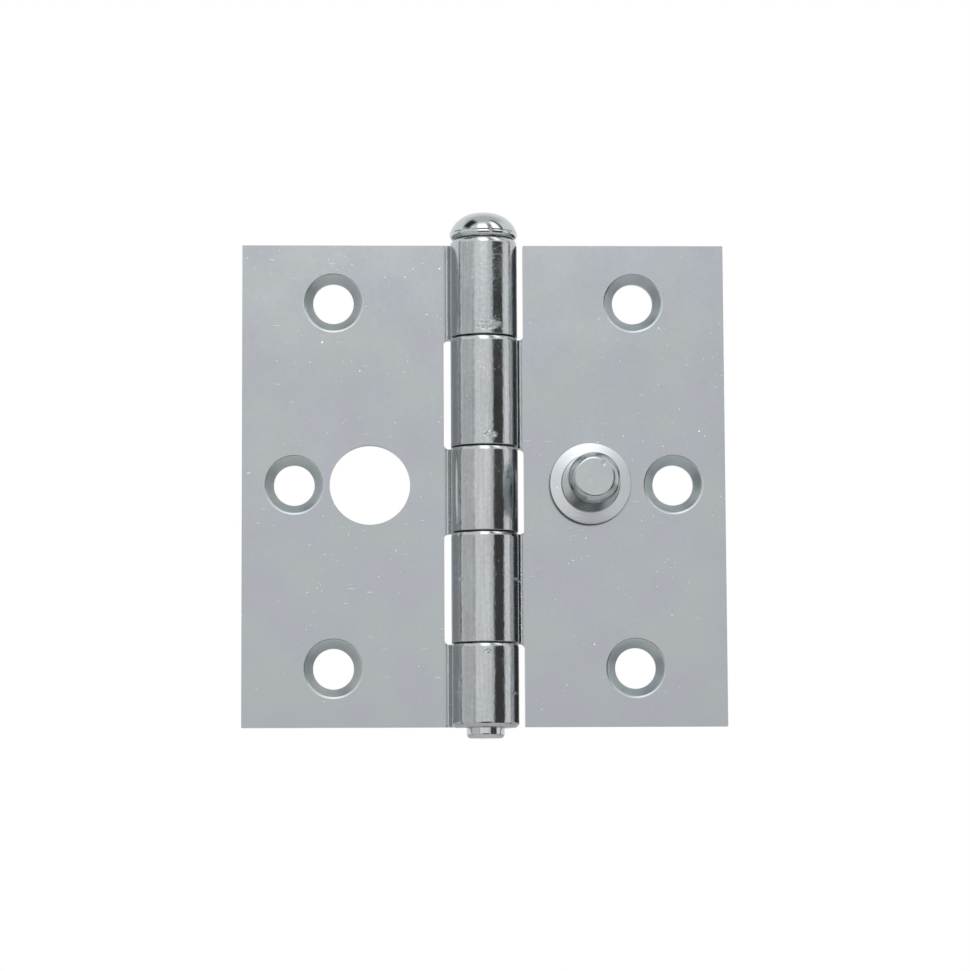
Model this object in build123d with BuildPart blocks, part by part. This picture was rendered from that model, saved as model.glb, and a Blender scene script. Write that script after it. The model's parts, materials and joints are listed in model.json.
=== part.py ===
"""Security hinge: a steel butt hinge with a loose pin and a locking stud, modelled opened flat.

Frame: the origin is on the pin's axis at half the height of the leaves. +X points to the door leaf,
-Y to the side that the screws go in from, and +Z along the pin towards its head. Millimetres.
"""
from build123d import *
import math
import os

# Leaves
leaf_height = 89.0
leaf_width = 44.5
sheet = 2.6
closed_gap = 3.0
leaf_corner = 0.3

# Rolled barrel
pin_diameter = 7.0
pin_play = 0.08
knuckle_gap = 0.2
knuckle_shares = (17.5, 20.1, 15.5, 20.1, 15.0)
knuckle_edge = 0.4
top_end_edge = 0.8
bottom_end_edge = 0.7
top_end_rise = 0.7
bottom_end_drop = 0.2
seam_gap = 0.3

# Swaged tabs between each leaf and its knuckles
swage_angle = 17.5
swage_bend = 0.8
notch_clearance = 1.2
notch_corner = 0.9

# Screw holes
screw_hole = 7.5
screw_countersink = 10.6
countersink_lip = 0.2
screw_end_margin = 10.7
screw_outer_margin = 16.8
middle_screw_margin = 9.6

# Loose pin
head_diameter = 12.5
head_seat = 1.25
head_dome = 3.75
dome_curve = 5.4
head_rim = 0.85
pin_projection = 2.0
pin_tip_edge = 0.9

# Locking stud and the hole that takes it
stud_offset = 1.5
stud_height = 13.1
stud_base = 10.7
stud_shoulder = 9.4
stud_shoulder_height = 11.5
stud_top = 7.3
stud_edge = 0.35
flange_diameter = 15.0
flange_thickness = 2.0
flange_rim = 1.6
flange_edge = 0.25
shank_diameter = 6.0
shank_play = 0.05
rivet_head = 8.6
stud_hole = 14.8
hole_web = 1.2
hole_edge = 0.2

# Worked out from the sizes above
bore_radius = pin_diameter / 2 + pin_play
barrel_radius = bore_radius + sheet
roll_radius = bore_radius + sheet / 2
half_height = leaf_height / 2
barrel_top = half_height + top_end_rise
barrel_bottom = -half_height - bottom_end_drop
leaf_front = closed_gap / 2
leaf_middle = leaf_front + sheet / 2
leaf_back = leaf_front + sheet
notch_edge = barrel_radius + notch_clearance
swage = math.radians(swage_angle)
tangent_x = roll_radius * math.sin(swage)
tangent_y = roll_radius * math.cos(swage)
swage_x = (roll_radius - leaf_middle * math.cos(swage)) / math.sin(swage)
roll_opening = math.degrees(math.acos((bore_radius - seam_gap) / barrel_radius))
corner_screw_x = leaf_width - screw_outer_margin
middle_screw_x = leaf_width - middle_screw_margin
screw_z = half_height - screw_end_margin
stud_hole_position = middle_screw_x - (screw_countersink + stud_hole) / 2 - hole_web
stud_position = stud_hole_position - stud_offset


def knuckle_spans():
    """Lowest and highest point of each knuckle, from the top of the barrel down."""
    steel = leaf_height - knuckle_gap * (len(knuckle_shares) - 1)
    spans = []
    top = half_height
    for share in knuckle_shares:
        bottom = top - steel * share / sum(knuckle_shares)
        spans.append((bottom, top))
        top = bottom - knuckle_gap
    return spans


def rolled_ends(bottom, top):
    """A knuckle's ends after rolling, which spreads the first and the last one past the leaf's edges."""
    if math.isclose(top, half_height):
        top = barrel_top
    if math.isclose(bottom, -half_height):
        bottom = barrel_bottom
    return bottom, top


def end_bevel(height):
    """Size of the bevel on a knuckle's outer corner, which is larger at the barrel's two ends."""
    if math.isclose(height, barrel_top):
        return top_end_edge
    if math.isclose(height, barrel_bottom):
        return bottom_end_edge
    return knuckle_edge


def rolled_leaf(spans):
    """One stamped leaf on the -X side: flat plate, swaged tabs and a rolled knuckle for each span."""
    roll_start = Plane(
        origin=(0, 0, 0),
        x_dir=(-math.sin(swage), math.cos(swage), 0),
        z_dir=(math.cos(swage), math.sin(swage), 0),
    )
    with BuildPart() as leaf:
        # The sheet seen from above: flat leaf, bend, and the tab as far as the barrel
        with BuildSketch(Plane.XY.offset(-half_height)):
            with BuildLine():
                FilletPolyline(
                    (-leaf_width, leaf_middle),
                    (-swage_x, leaf_middle),
                    (-tangent_x, tangent_y),
                    radius=swage_bend + sheet / 2,
                )
            trace(line_width=sheet)
        extrude(amount=leaf_height)
        # The blank seen from the front: a plate with a tab for each knuckle
        with BuildSketch(Plane.XZ.offset(-2 * barrel_radius)) as blank:
            with Locations((-(leaf_width + notch_edge) / 2, 0)):
                Rectangle(leaf_width - notch_edge, leaf_height)
            for bottom, top in spans:
                with Locations((0, (bottom + top) / 2)):
                    Rectangle(2 * notch_edge, top - bottom)
            inner = [
                v
                for v in blank.vertices()
                if math.isclose(v.X, -notch_edge) and not math.isclose(abs(v.Y), half_height)
            ]
            fillet(inner, radius=notch_corner)
            fillet(blank.vertices().group_by(Axis.X)[0], radius=leaf_corner)
        extrude(amount=4 * barrel_radius, mode=Mode.INTERSECT)
        # Each knuckle is rolled on from the end of its tab, and stops at the seam
        for bottom, top in (rolled_ends(*span) for span in spans):
            with BuildSketch(roll_start) as wall:
                with Locations((roll_radius, (bottom + top) / 2)):
                    Rectangle(sheet, top - bottom)
                outer = wall.vertices().group_by(Axis.X)[-1].sort_by(Axis.Y)
                chamfer(outer[0], length=end_bevel(bottom))
                chamfer(outer[-1], length=end_bevel(top))
            revolve(axis=Axis((0, 0, 0), (0, 0, -1)), revolution_arc=360 - roll_opening)
    return leaf.part


def screw_places(side):
    """Centres of the three screw holes across a leaf's front, on the -1 or the +1 side."""
    return [
        (side * corner_screw_x, screw_z),
        (side * middle_screw_x, 0),
        (side * corner_screw_x, -screw_z),
    ]


def circles(part, diameter):
    """The part's round edges of one diameter."""
    edges = part.edges().filter_by(GeomType.CIRCLE)
    return edges.filter_by(lambda edge: math.isclose(edge.radius, diameter / 2))


front_plane = Plane.XZ.offset(-leaf_front)
back_plane = Plane(origin=(0, leaf_back, 0), x_dir=(1, 0, 0), z_dir=(0, 1, 0))
spans = knuckle_spans()
frame_blank = rolled_leaf(spans[0::2])
door_blank = mirror(rolled_leaf(spans[1::2]), about=Plane.YZ)

# Frame leaf: three knuckles, three screw holes and the plain hole that the stud enters
with BuildPart() as frame_leaf:
    add(frame_blank)
    with Locations(front_plane):
        with Locations(*screw_places(-1)):
            CounterSinkHole(screw_hole / 2, screw_countersink / 2, counter_sink_angle=90)
        with Locations((-stud_hole_position, 0)):
            Hole(stud_hole / 2)
    chamfer(circles(frame_leaf, screw_countersink), length=countersink_lip)
    chamfer(circles(frame_leaf, stud_hole).sort_by(Axis.Y)[0], length=hole_edge)
frame_leaf.part.label = "frame_leaf"

# Door leaf: two knuckles, three screw holes and the hole that the stud's shank is riveted into
with BuildPart() as door_leaf:
    add(door_blank)
    with Locations(front_plane):
        with Locations(*screw_places(1)):
            CounterSinkHole(screw_hole / 2, screw_countersink / 2, counter_sink_angle=90)
    with Locations(back_plane):
        with Locations((stud_position, 0)):
            CounterSinkHole(
                shank_diameter / 2 + shank_play, rivet_head / 2 + shank_play, counter_sink_angle=90
            )
    chamfer(circles(door_leaf, screw_countersink), length=countersink_lip)
door_leaf.part.label = "door_leaf"

# Locking stud, turned in one piece: rivet head, shank, flange and a tapered boss
stud_plane = Plane(origin=(stud_position, leaf_front, 0), x_dir=(1, 0, 0), z_dir=(0, 0, -1))
with BuildPart() as security_stud:
    with BuildSketch(stud_plane):
        with BuildLine():
            Polyline(
                (0, -sheet),
                (rivet_head / 2, -sheet),
                (shank_diameter / 2, (rivet_head - shank_diameter) / 2 - sheet),
                (shank_diameter / 2, 0),
                (flange_diameter / 2, 0),
                (flange_diameter / 2, flange_rim),
                (stud_base / 2, flange_thickness),
                (stud_shoulder / 2, stud_shoulder_height),
                (stud_top / 2, stud_height),
                (0, stud_height),
                close=True,
            )
        make_face()
    revolve(axis=Axis((stud_position, leaf_front, 0), (0, -1, 0)))
    chamfer(circles(security_stud, stud_shoulder), length=stud_edge)
    chamfer(circles(security_stud, stud_top), length=stud_edge)
    chamfer(circles(security_stud, flange_diameter).sort_by(Axis.Y)[0], length=flange_edge)
security_stud.part.label = "security_stud"

# Loose pin: domed head that rests on the top knuckle, and a tip that shows below the last one
head_radius = head_diameter / 2
dome_z = barrel_top + head_seat
dome_start = math.asin(1 - head_dome / dome_curve)
crown_flat = head_radius - dome_curve * math.cos(dome_start)
with BuildPart() as hinge_pin:
    with BuildSketch(Plane.XZ):
        with BuildLine():
            dome = CenterArc(
                (crown_flat, dome_z + head_dome - dome_curve),
                dome_curve,
                math.degrees(dome_start),
                90 - math.degrees(dome_start),
            )
            Polyline(
                dome @ 0,
                (head_radius, barrel_top),
                (pin_diameter / 2, barrel_top),
                (pin_diameter / 2, barrel_bottom - pin_projection),
                (0, barrel_bottom - pin_projection),
                (0, dome_z + head_dome),
                dome @ 1,
            )
        make_face()
    revolve(axis=Axis.Z)
    fillet(circles(hinge_pin, head_diameter).sort_by(Axis.Z)[0], radius=head_rim)
    chamfer(hinge_pin.edges().sort_by(Axis.Z)[0], length=pin_tip_edge)
hinge_pin.part.label = "hinge_pin"

os.makedirs("parts", exist_ok=True)
for piece in (frame_leaf, door_leaf, security_stud, hinge_pin):
    export_step(piece.part, f"parts/{piece.part.label}.step")
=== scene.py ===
"""Security hinge, dressed for its portrait.

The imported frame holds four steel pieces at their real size: two leaves with their rolled knuckles, the
locking stud and the loose pin. Each is modelled again here with the rounded rims, turned marks and small
dents of zinc plated steel. Metres. The origin is on the pin's axis at half height, +X towards the door
leaf, -Y towards the side that the screws go in from, and +Z towards the pin's head.
"""
import json
import logging
import math
from dataclasses import dataclass, field
from enum import Enum, IntEnum

import bmesh
import bpy
from bmesh.types import BMEdge, BMesh, BMVert
from bpy.types import Material, Node, NodeSocket, NodeTree, Object
from mathutils import Matrix, Quaternion, Vector


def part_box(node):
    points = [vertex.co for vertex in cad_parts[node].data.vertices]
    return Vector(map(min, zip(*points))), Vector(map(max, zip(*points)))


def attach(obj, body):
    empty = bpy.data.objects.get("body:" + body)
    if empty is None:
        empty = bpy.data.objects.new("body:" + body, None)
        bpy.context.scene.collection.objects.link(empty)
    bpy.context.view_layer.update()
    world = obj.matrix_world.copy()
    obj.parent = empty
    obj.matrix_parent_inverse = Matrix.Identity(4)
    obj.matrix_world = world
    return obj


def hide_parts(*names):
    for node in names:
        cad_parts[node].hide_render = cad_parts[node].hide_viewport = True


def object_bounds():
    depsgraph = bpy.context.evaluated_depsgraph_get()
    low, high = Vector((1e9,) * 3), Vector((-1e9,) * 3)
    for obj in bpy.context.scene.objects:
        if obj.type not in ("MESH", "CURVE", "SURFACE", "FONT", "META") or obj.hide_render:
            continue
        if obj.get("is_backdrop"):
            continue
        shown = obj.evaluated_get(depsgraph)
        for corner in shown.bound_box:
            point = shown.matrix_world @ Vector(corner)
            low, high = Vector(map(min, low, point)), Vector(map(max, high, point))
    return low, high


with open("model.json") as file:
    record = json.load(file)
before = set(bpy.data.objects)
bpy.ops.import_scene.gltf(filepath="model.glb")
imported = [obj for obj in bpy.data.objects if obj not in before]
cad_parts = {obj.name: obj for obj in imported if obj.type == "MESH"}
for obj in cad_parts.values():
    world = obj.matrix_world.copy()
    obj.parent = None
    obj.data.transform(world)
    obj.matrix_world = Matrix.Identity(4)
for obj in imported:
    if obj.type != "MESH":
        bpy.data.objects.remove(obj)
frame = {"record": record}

MM = 0.001
SNAP = 0.002 * MM  # places this near are one place
NEAR = 10 * SNAP  # how far off a round surface a place may be and still count as on it
ROUND_STEPS = 96
SHADED_SHARP = math.radians(32)
REAL_EDGE = math.radians(40)
FACING_FULLY, FACING_MOSTLY, FACING_HALF = 0.99, 0.9, 0.5  # cosines between a face's normal and an axis
Y_AXIS, Z_AXIS = Vector((0, 1, 0)), Vector((0, 0, 1))

log = logging.getLogger("security_hinge")


class Grain(Enum):
    """Marks that the making of a surface leaves in it."""

    PLATE = "flat sheet as it left the mill"
    ROLLED = "sheet drawn round a mandrel"
    TURNED = "rings from a lathe or a countersink"
    SHEARED = "edge left by the press"


class LeafFace(IntEnum):
    """Material slots of a leaf. The seats of its three screw holes follow from SEAT on."""

    PLATE = 0
    ROLLED = 1
    SHEARED = 2
    # the tabs' slot holds a near-white finish, painted light
    TAB = 3
    SEAT = 4


class StudFace(IntEnum):
    """Material slots of the locking stud."""

    BOSS = 0
    FLANGE = 1
    # the flange's side, which holds a painted shade
    RIM = 2


def mount(name: str) -> dict:
    """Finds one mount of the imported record.

    Args:
        name: the mount's name in the record.

    Returns:
        The mount as the record writes it.
    """
    return next(entry for entry in frame["record"]["mounts"] if entry["name"] == name)


# Node wiring


class Wiring:
    """Adds nodes to one node tree and joins them."""

    def __init__(self, tree: NodeTree) -> None:
        """Takes the tree that the nodes go into."""
        self.tree = tree

    def add(self, kind: str, **settings: object) -> Node:
        """Adds one node.

        Args:
            kind: the node's class name.
            settings: properties to set on it.

        Returns:
            The new node.
        """
        node = self.tree.nodes.new(kind)
        for name, value in settings.items():
            setattr(node, name, value)
        return node

    def plug(self, value: object, socket: NodeSocket) -> None:
        """Joins a socket to another, or writes a constant into it.

        Args:
            value: a socket or a constant.
            socket: the input that takes it.
        """
        if isinstance(value, NodeSocket):
            self.tree.links.new(value, socket)
        else:
            socket.default_value = value

    def maths(self, operation: str, *values: object, clamp: bool = False) -> NodeSocket:
        """Adds a Math node.

        Args:
            operation: what it works out.
            values: its inputs in order.
            clamp: whether the result stays between 0 and 1.

        Returns:
            The result's socket.
        """
        node = self.add("ShaderNodeMath", operation=operation, use_clamp=clamp)
        for value, socket in zip(values, node.inputs):
            self.plug(value, socket)
        return node.outputs[0]

    def vector(self, operation: str, *values: object, out: str = "Vector") -> NodeSocket:
        """Adds a Vector Math node.

        Args:
            operation: what it works out.
            values: its inputs in order.
            out: the output to give back.

        Returns:
            The socket of that output.
        """
        node = self.add("ShaderNodeVectorMath", operation=operation)
        for value, socket in zip(values, node.inputs):
            self.plug(value, socket)
        return node.outputs[out]

    def ramp(
        self, value: object, low: object, high: object, to_low: float = 0, to_high: float = 1
    ) -> NodeSocket:
        """Maps a value smoothly from one span to another.

        Args:
            value: what is mapped.
            low: the value that gives to_low.
            high: the value that gives to_high.
            to_low: the result at low.
            to_high: the result at high.

        Returns:
            The result's socket.
        """
        node = self.add("ShaderNodeMapRange", interpolation_type="SMOOTHSTEP")
        for entry, socket in zip((value, low, high, to_low, to_high), node.inputs):
            self.plug(entry, socket)
        return node.outputs[0]

    def noise(self, vector: object, scale: object, detail: float = 2, roughness: float = 0.5) -> NodeSocket:
        """Adds a Noise Texture.

        Args:
            vector: the place.
            scale: how many features go into a metre.
            detail: how many finer layers are added.
            roughness: how strong each finer layer is.

        Returns:
            The noise's socket, about 0.5.
        """
        node = self.add("ShaderNodeTexNoise")
        self.plug(vector, node.inputs["Vector"])
        self.plug(scale, node.inputs["Scale"])
        node.inputs["Detail"].default_value = detail
        node.inputs["Roughness"].default_value = roughness
        return node.outputs[0]

    def mix(self, factor: NodeSocket, first: object, second: object) -> NodeSocket:
        """Mixes two colours.

        Args:
            factor: share of the second, from 0 to 1.
            first: a colour or its socket.
            second: a colour or its socket.

        Returns:
            The mixed colour's socket.
        """
        node = self.add("ShaderNodeMix", data_type="RGBA")
        colours = [socket for socket in node.inputs if socket.type == "RGBA"]
        self.plug(factor, node.inputs["Factor"])
        self.plug(first, colours[0])
        self.plug(second, colours[1])
        return next(socket for socket in node.outputs if socket.type == "RGBA")


def new_group(name: str, takes: dict[str, object], gives: tuple[str, ...]) -> Wiring:
    """Starts a node group with named sockets.

    Args:
        name: the group's name.
        takes: each input with its starting value; a tuple makes a vector socket.
        gives: the outputs, all plain numbers.

    Returns:
        The wiring of the new group.
    """
    tree = bpy.data.node_groups.new(name, "ShaderNodeTree")
    for label, value in takes.items():
        kind = "NodeSocketVector" if isinstance(value, tuple) else "NodeSocketFloat"
        tree.interface.new_socket(label, in_out="INPUT", socket_type=kind).default_value = value
    for label in gives:
        tree.interface.new_socket(label, in_out="OUTPUT", socket_type="NodeSocketFloat")
    return Wiring(tree)


# Effects that the finishes share


def mottle_group(
    finer: float = 9.0,
    slow_share: float = 0.6,
    tint_shift: tuple[float, float, float] = (0.7, 0.2, 0.4),
    tint_span: tuple[float, float] = (0.35, 0.65),
) -> NodeTree:
    """Cloudy patches of a plated sheet, as a tone about 1 and a mask of the tint.

    Args:
        finer: how many times smaller the fine patches are than the slow ones.
        slow_share: the slow patches' share of the tone.
        tint_shift: metres that the tint's patches lie from the tone's.
        tint_span: levels of noise between which the tint comes in.

    Returns:
        The group.
    """
    wiring = new_group(
        "plating_mottle",
        {"Place": (0.0, 0.0, 0.0), "Patch scale": 90.0, "Contrast": 0.04},
        ("Tone", "Tint"),
    )
    entry, leave = wiring.add("NodeGroupInput"), wiring.add("NodeGroupOutput")
    place, scale, contrast = (entry.outputs[n] for n in ("Place", "Patch scale", "Contrast"))
    slow = wiring.noise(place, scale, detail=3)
    fine = wiring.noise(place, wiring.maths("MULTIPLY", scale, finer), detail=4, roughness=0.7)
    fine_part = wiring.maths("MULTIPLY", fine, 1 - slow_share)
    blend = wiring.maths("ADD", wiring.maths("MULTIPLY", slow, slow_share), fine_part)
    sway = wiring.maths("MULTIPLY", wiring.maths("SUBTRACT", blend, 0.5), contrast)
    wiring.plug(wiring.maths("MULTIPLY_ADD", sway, 2.0, 1.0), leave.inputs["Tone"])
    drift = wiring.noise(wiring.vector("ADD", place, tint_shift), scale, detail=1)
    wiring.plug(wiring.ramp(drift, *tint_span), leave.inputs["Tint"])
    return wiring.tree


def dings_group(
    warp_scale: float = 900.0,
    warp: float = 0.8 * MM,
    crowd_scale: float = 110.0,
    crowd_edge: float = 0.05,
    least_width: float = 0.3,
    least_depth: float = 0.25,
) -> NodeTree:
    """Small sparse dents from handling in a box of the same parts: their depth, from 0 to 1.

    Args:
        warp_scale: scale of the noise that makes their outlines uneven.
        warp: how far it pushes them.
        crowd_scale: scale of the crowds that they come in.
        crowd_edge: how soft a crowd's edge is.
        least_width: width of the narrowest one, as a share of the reach.
        least_depth: depth of the faintest one.

    Returns:
        The group.
    """
    wiring = new_group(
        "handling_dings",
        {"Place": (0.0, 0.0, 0.0), "Scale": 500.0, "Share": 0.1, "Reach": 0.2, "Sparseness": 0.0},
        ("Depth",),
    )
    entry, leave = wiring.add("NodeGroupInput"), wiring.add("NodeGroupOutput")
    place, sparse = entry.outputs["Place"], entry.outputs["Sparseness"]
    uneven = wiring.add("ShaderNodeTexNoise")
    wiring.plug(place, uneven.inputs["Vector"])
    wiring.plug(warp_scale, uneven.inputs["Scale"])
    shift = wiring.vector("MULTIPLY", uneven.outputs["Color"], (warp, warp, warp))
    cells = wiring.add("ShaderNodeTexVoronoi")
    wiring.plug(wiring.vector("ADD", place, shift), cells.inputs["Vector"])
    wiring.plug(entry.outputs["Scale"], cells.inputs["Scale"])
    draws = wiring.add("ShaderNodeSeparateColor")
    wiring.plug(cells.outputs["Color"], draws.inputs[0])
    chosen = wiring.maths("LESS_THAN", draws.outputs[0], entry.outputs["Share"])
    breadth = wiring.maths("ADD", draws.outputs[1], least_width)
    width = wiring.maths("MULTIPLY", entry.outputs["Reach"], breadth)
    pit = wiring.ramp(cells.outputs["Distance"], 0.0, width, 1.0, 0.0)
    crowds = wiring.noise(place, crowd_scale, detail=3)
    crowd = wiring.ramp(crowds, sparse, wiring.maths("ADD", sparse, crowd_edge))
    size = wiring.ramp(draws.outputs[2], 0.0, 1.0, least_depth, 1.0)
    kept = wiring.maths("MULTIPLY", wiring.maths("MULTIPLY", chosen, crowd), size)
    wiring.plug(wiring.maths("MULTIPLY", kept, pit), leave.inputs["Depth"])
    return wiring.tree


def rings_group() -> NodeTree:
    """Uneven turned rings about an axis along Y: a height from 0 to 1.

    Returns:
        The group.
    """
    wiring = new_group(
        "turned_rings", {"Place": (0.0, 0.0, 0.0), "Centre": (0.0, 0.0, 0.0), "Pitch": 0.0003}, ("Height",)
    )
    entry, leave = wiring.add("NodeGroupInput"), wiring.add("NodeGroupOutput")
    from_axis = wiring.vector("SUBTRACT", entry.outputs["Place"], entry.outputs["Centre"])
    flat = wiring.vector("MULTIPLY", from_axis, (1.0, 0.0, 1.0))
    radius = wiring.vector("LENGTH", flat, out="Value")
    rows = wiring.add("ShaderNodeCombineXYZ")
    wiring.plug(wiring.maths("DIVIDE", radius, entry.outputs["Pitch"]), rows.inputs["X"])
    wiring.plug(wiring.noise(rows.outputs[0], 1.0, detail=2, roughness=0.7), leave.inputs["Height"])
    return wiring.tree


def streaks_group(
    patch_scale: float = 260.0,
    patch_span: tuple[float, float] = (0.56, 0.68),
    grit_scale: float = 3200.0,
    grit_span: tuple[float, float] = (0.4, 0.6),
) -> NodeTree:
    """Fine streaks along Z, broken into lengths: a height and a mask of frosted patches.

    Args:
        patch_scale: scale of the frosted patches.
        patch_span: levels of noise between which a patch comes in.
        grit_scale: scale of the grit inside a patch.
        grit_span: levels of noise between which the grit comes in.

    Returns:
        The group.
    """
    wiring = new_group(
        "drawn_streaks", {"Place": (0.0, 0.0, 0.0), "Scale": 2500.0, "Stretch": 0.04}, ("Height", "Frost")
    )
    entry, leave = wiring.add("NodeGroupInput"), wiring.add("NodeGroupOutput")
    place = entry.outputs["Place"]
    squeeze = wiring.add("ShaderNodeCombineXYZ")
    wiring.plug(1.0, squeeze.inputs["X"])
    wiring.plug(1.0, squeeze.inputs["Y"])
    wiring.plug(entry.outputs["Stretch"], squeeze.inputs["Z"])
    along = wiring.vector("MULTIPLY", place, squeeze.outputs[0])
    wiring.plug(wiring.noise(along, entry.outputs["Scale"], detail=3), leave.inputs["Height"])
    patches = wiring.ramp(wiring.noise(place, patch_scale, detail=3, roughness=0.6), *patch_span)
    grit = wiring.ramp(wiring.noise(place, grit_scale, detail=2, roughness=0.8), *grit_span)
    wiring.plug(wiring.maths("MULTIPLY", patches, grit), leave.inputs["Frost"])
    return wiring.tree


@dataclass(frozen=True)
class Effects:
    """The node groups, built once and placed in each finish with its own values."""

    mottle: NodeTree = field(default_factory=mottle_group)
    dings: NodeTree = field(default_factory=dings_group)
    rings: NodeTree = field(default_factory=rings_group)
    streaks: NodeTree = field(default_factory=streaks_group)


# Values that every finish shares

FROST_ROUGHNESS = 0.12
FINE_SCALE = 1500.0
SWELL_SCALE = 220.0
KNOCK_DEPTH = 0.5 * MM
KNOCK_STRETCH = (0.5, 0.0, 1.0)
# Scuffs are painted lighter: partly rubbed plating, partly painted glints.
SCUFF_GLINT_STRETCH = (0.2, 1.0, 1.0)
SCUFF_GLINT_SCALE = 1.3
SCUFF_GLINT_SHARE = 0.25
# Dents are painted towards near white: partly rubbed plating, partly painted glints in place of their
# highlights.
WEAR_AND_GLINT_SPAN = (0.08, 0.6)
WEAR_AND_GLINT_COLOUR = (0.95, 0.96, 0.97, 1.0)


@dataclass(frozen=True)
class PlatedSteel:
    """Zinc plated steel with one kind of surface.

    Colours are linear. Depths are in metres, as the Bump node takes them, and scales are features to the
    metre. A knock is the X, Z and reach of a crumpled spot.
    """

    name: str
    grain: Grain
    colour: tuple[float, float, float]
    tint: tuple[float, float, float]
    roughness: float
    contrast: float = 0.04
    grain_depth: float = 0.01 * MM
    ding_share: float = 0.12
    ding_depth: float = 0.03 * MM
    ding_scale: float = 800.0
    ding_reach: float = 0.2
    ding_sparseness: float = 0.0
    # how far dents go towards near white: wear and painted glints
    ding_wear_and_glint: float = 0.0
    streak: float = 0.0
    grit: float = 0.0
    grit_tone: float = 0.0
    # how much lighter the scuffs are painted: wear and painted glints
    scuffs_and_glints: float = 0.0
    swell: float = 0.0
    ring_pitch: float = 0.25 * MM
    knocks: tuple[tuple[float, float, float], ...] = ()

    def place(self, wiring: Wiring, group: NodeTree, **values: object) -> Node:
        """Puts one shared effect into the material.

        Args:
            wiring: the material's wiring.
            group: the effect.
            values: what its inputs take, with spaces in their names written as underscores.

        Returns:
            The group node.
        """
        node = wiring.add("ShaderNodeGroup", node_tree=group)
        for name, value in values.items():
            wiring.plug(value, node.inputs[name.replace("_", " ")])
        return node

    def dents(self, wiring: Wiring, where: NodeSocket, dings: NodeSocket, fine: NodeSocket) -> NodeSocket:
        """Adds up the height of everything that isn't grain.

        Args:
            wiring: the material's wiring.
            where: the place on the piece.
            dings: depth of the dings, from 0 to 1.
            fine: the fine noise of the surface, about 0.5.

        Returns:
            The height's socket.
        """
        height = wiring.maths("MULTIPLY", dings, -self.ding_depth)
        if self.grit:
            height = wiring.maths("MULTIPLY_ADD", fine, self.grit, height)
        if self.swell:
            slow = wiring.noise(where, SWELL_SCALE, detail=1)
            height = wiring.maths("MULTIPLY_ADD", slow, self.swell, height)
        if self.knocks:
            crumple = wiring.maths("MULTIPLY", wiring.maths("SUBTRACT", fine, 0.5), KNOCK_DEPTH)
        for x, z, reach in self.knocks:
            offset = wiring.vector("SUBTRACT", where, (x, 0.0, z))
            flat = wiring.vector("MULTIPLY", offset, KNOCK_STRETCH)
            near = wiring.ramp(wiring.vector("LENGTH", flat, out="Value"), 0.0, reach, 1.0, 0.0)
            height = wiring.maths("MULTIPLY_ADD", near, crumple, height)
        return height

    def material(self, effects: Effects, centre: tuple[float, float, float] = (0, 0, 0)) -> Material:
        """Builds the material.

        Args:
            effects: the shared node groups.
            centre: a point on the axis of turned rings.

        Returns:
            The new material.
        """
        made = bpy.data.materials.new(self.name)
        made.use_nodes = True
        made.node_tree.nodes.clear()
        wiring = Wiring(made.node_tree)
        shader = wiring.add("ShaderNodeBsdfPrincipled")
        leave = wiring.add("ShaderNodeOutputMaterial")
        wiring.plug(shader.outputs[0], leave.inputs["Surface"])
        shader.inputs["Metallic"].default_value = 1.0
        where = wiring.add("ShaderNodeTexCoord").outputs["Object"]

        mottle = self.place(wiring, effects.mottle, Place=where, Contrast=self.contrast)
        spread = wiring.maths("SUBTRACT", mottle.outputs["Tone"], 1.0)
        rough = wiring.maths("ADD", spread, self.roughness)
        if self.grain is Grain.TURNED:
            rings = self.place(wiring, effects.rings, Place=where, Centre=centre, Pitch=self.ring_pitch)
            relief = rings.outputs["Height"]
        else:
            streaks = self.place(wiring, effects.streaks, Place=where)
            relief = streaks.outputs["Height"]
            if self.grain is Grain.ROLLED:
                frost = wiring.maths("MULTIPLY", streaks.outputs["Frost"], FROST_ROUGHNESS)
                rough = wiring.maths("ADD", rough, frost)
        wiring.plug(rough, shader.inputs["Roughness"])

        dings = self.place(
            wiring, effects.dings, Place=where, Scale=self.ding_scale, Share=self.ding_share,
            Reach=self.ding_reach, Sparseness=self.ding_sparseness,
        ).outputs["Depth"]
        mixed = wiring.mix(mottle.outputs["Tint"], (*self.colour, 1), (*self.tint, 1))
        lines = wiring.maths("MULTIPLY_ADD", relief, self.streak, 1 - self.streak / 2)
        fine = wiring.noise(where, FINE_SCALE, detail=3, roughness=0.7)
        specks = wiring.maths("MULTIPLY_ADD", fine, self.grit_tone, 1 - self.grit_tone / 2)
        tone = wiring.maths("MULTIPLY", mottle.outputs["Tone"], wiring.maths("MULTIPLY", lines, specks))
        # scuffs lighten the tone: wear, and painted glints
        if self.scuffs_and_glints:
            drawn = self.place(
                wiring, effects.dings, Place=wiring.vector("MULTIPLY", where, SCUFF_GLINT_STRETCH),
                Scale=SCUFF_GLINT_SCALE * self.ding_scale, Share=SCUFF_GLINT_SHARE, Sparseness=self.ding_sparseness,
            )
            tone = wiring.maths("MULTIPLY_ADD", drawn.outputs["Depth"], self.scuffs_and_glints, tone)
        toned = wiring.vector("SCALE", mixed)
        wiring.plug(tone, toned.node.inputs["Scale"])
        # dents towards near white: wear, and painted glints
        wear_and_glint = wiring.ramp(dings, *WEAR_AND_GLINT_SPAN, 0.0, self.ding_wear_and_glint)
        wiring.plug(wiring.mix(wear_and_glint, toned, WEAR_AND_GLINT_COLOUR), shader.inputs["Base Color"])

        grain = wiring.maths("MULTIPLY", relief, self.grain_depth)
        bump = wiring.add("ShaderNodeBump")
        bump.inputs["Distance"].default_value = 1.0
        height = wiring.maths("ADD", grain, self.dents(wiring, where, dings, fine))
        wiring.plug(height, bump.inputs["Height"])
        wiring.plug(bump.outputs[0], shader.inputs["Normal"])
        return made


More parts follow.
